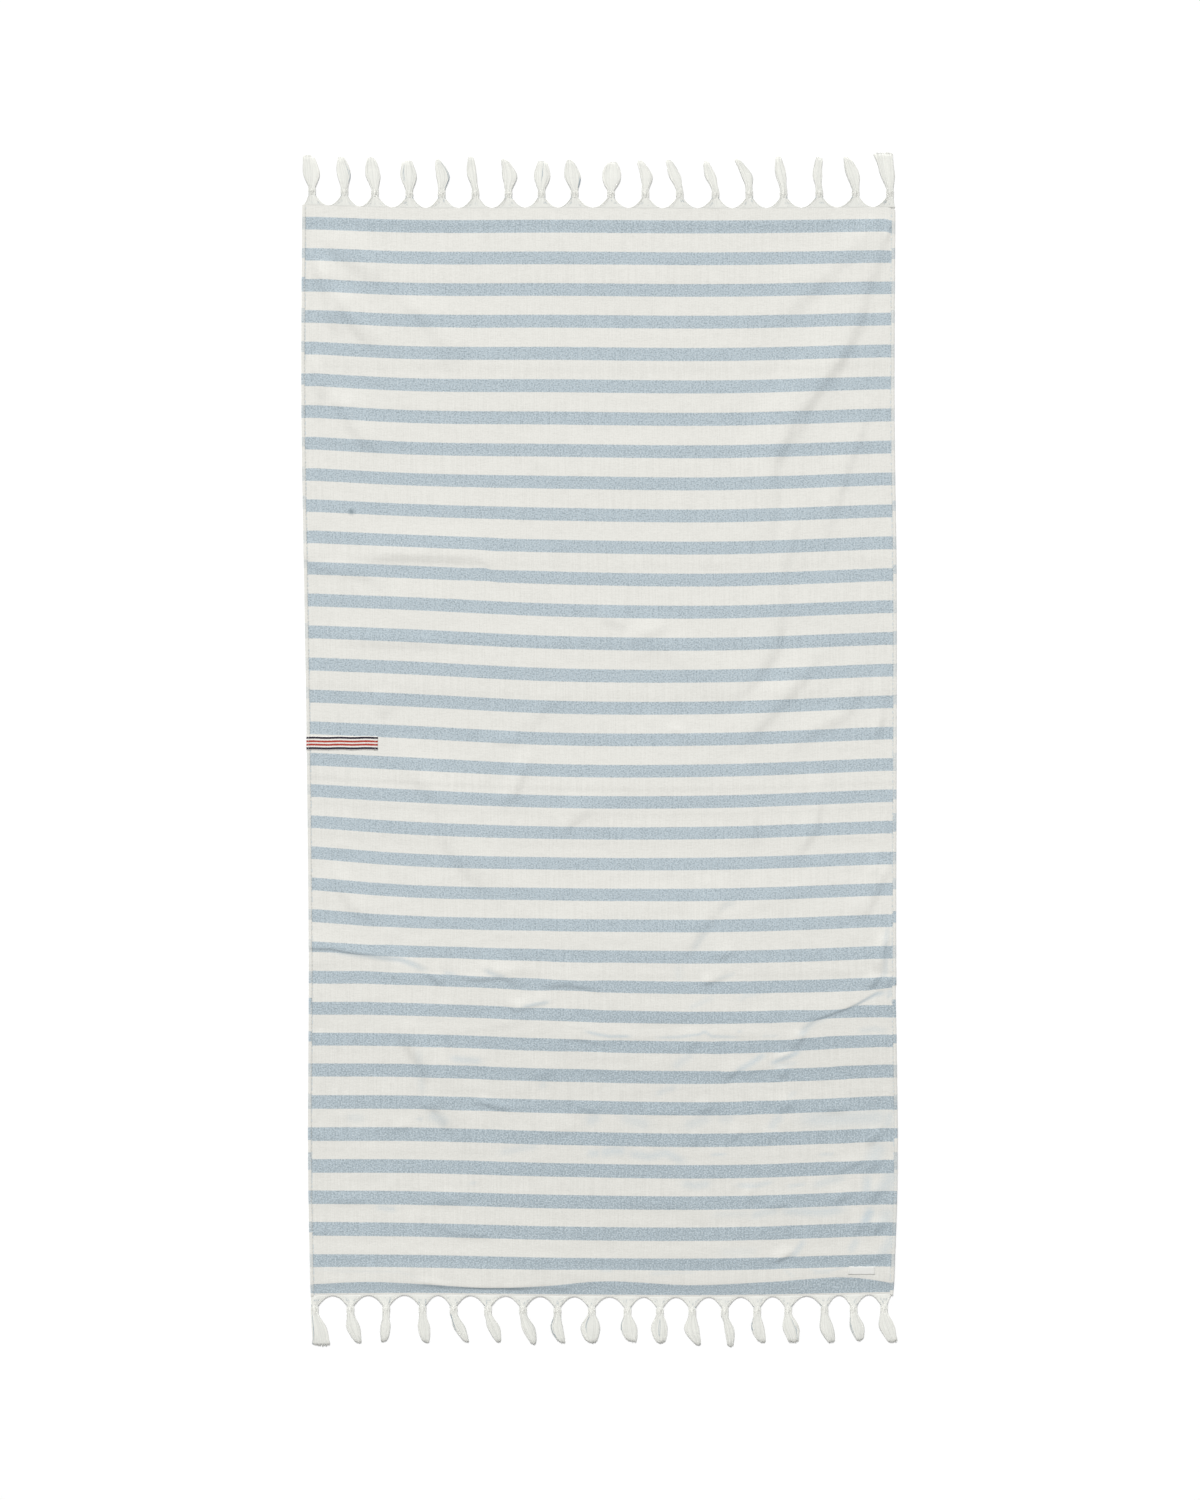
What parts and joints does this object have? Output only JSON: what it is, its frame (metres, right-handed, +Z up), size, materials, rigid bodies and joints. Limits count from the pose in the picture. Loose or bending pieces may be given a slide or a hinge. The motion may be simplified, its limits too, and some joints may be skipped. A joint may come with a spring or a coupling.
{
  "type": "travel towel",
  "caption": "Flat-woven cotton travel towel in white with blue cross stripes and knotted tassels on both ends, laid out flat with low folds.",
  "frame": {"origin": "under the middle of the laid towel's box, tassels included, on the surface it lies on", "axes": "+Y along the towel towards the end that has the flared tassel at its right, +X across it to the right, away from the ribbon tape, +Z up from the surface"},
  "size_m": [0.901, 1.811, 0.0147],
  "materials": {
    "striped_cotton": "matt flat weave, white with blue stripes",
    "cotton_yarn": "matt loose cotton yarn",
    "ribbon_tape": "close woven tape with coloured lines",
    "label_tape": "smooth close weave, bare"
  },
  "bodies": {
    "root": {"cloth": "striped_cotton", "tassel_top_01": "cotton_yarn", "tassel_top_02": "cotton_yarn", "tassel_top_03": "cotton_yarn", "tassel_top_04": "cotton_yarn", "tassel_top_05": "cotton_yarn", "tassel_top_06": "cotton_yarn", "tassel_top_07": "cotton_yarn", "tassel_top_08": "cotton_yarn", "tassel_top_09": "cotton_yarn", "tassel_top_10": "cotton_yarn", "tassel_top_11": "cotton_yarn", "tassel_top_12": "cotton_yarn", "tassel_top_13": "cotton_yarn", "tassel_top_14": "cotton_yarn", "tassel_top_15": "cotton_yarn", "tassel_top_16": "cotton_yarn", "tassel_top_17": "cotton_yarn", "tassel_top_18": "cotton_yarn", "tassel_bottom_01": "cotton_yarn", "tassel_bottom_02": "cotton_yarn", "tassel_bottom_03": "cotton_yarn", "tassel_bottom_04": "cotton_yarn", "tassel_bottom_05": "cotton_yarn", "tassel_bottom_06": "cotton_yarn", "tassel_bottom_07": "cotton_yarn", "tassel_bottom_08": "cotton_yarn", "tassel_bottom_09": "cotton_yarn", "tassel_bottom_10": "cotton_yarn", "tassel_bottom_11": "cotton_yarn", "tassel_bottom_12": "cotton_yarn", "tassel_bottom_13": "cotton_yarn", "tassel_bottom_14": "cotton_yarn", "tassel_bottom_15": "cotton_yarn", "tassel_bottom_16": "cotton_yarn", "tassel_bottom_17": "cotton_yarn", "tassel_bottom_18": "cotton_yarn", "ribbon_tab": "ribbon_tape", "label": "label_tape"}
  },
  "joints": []
}
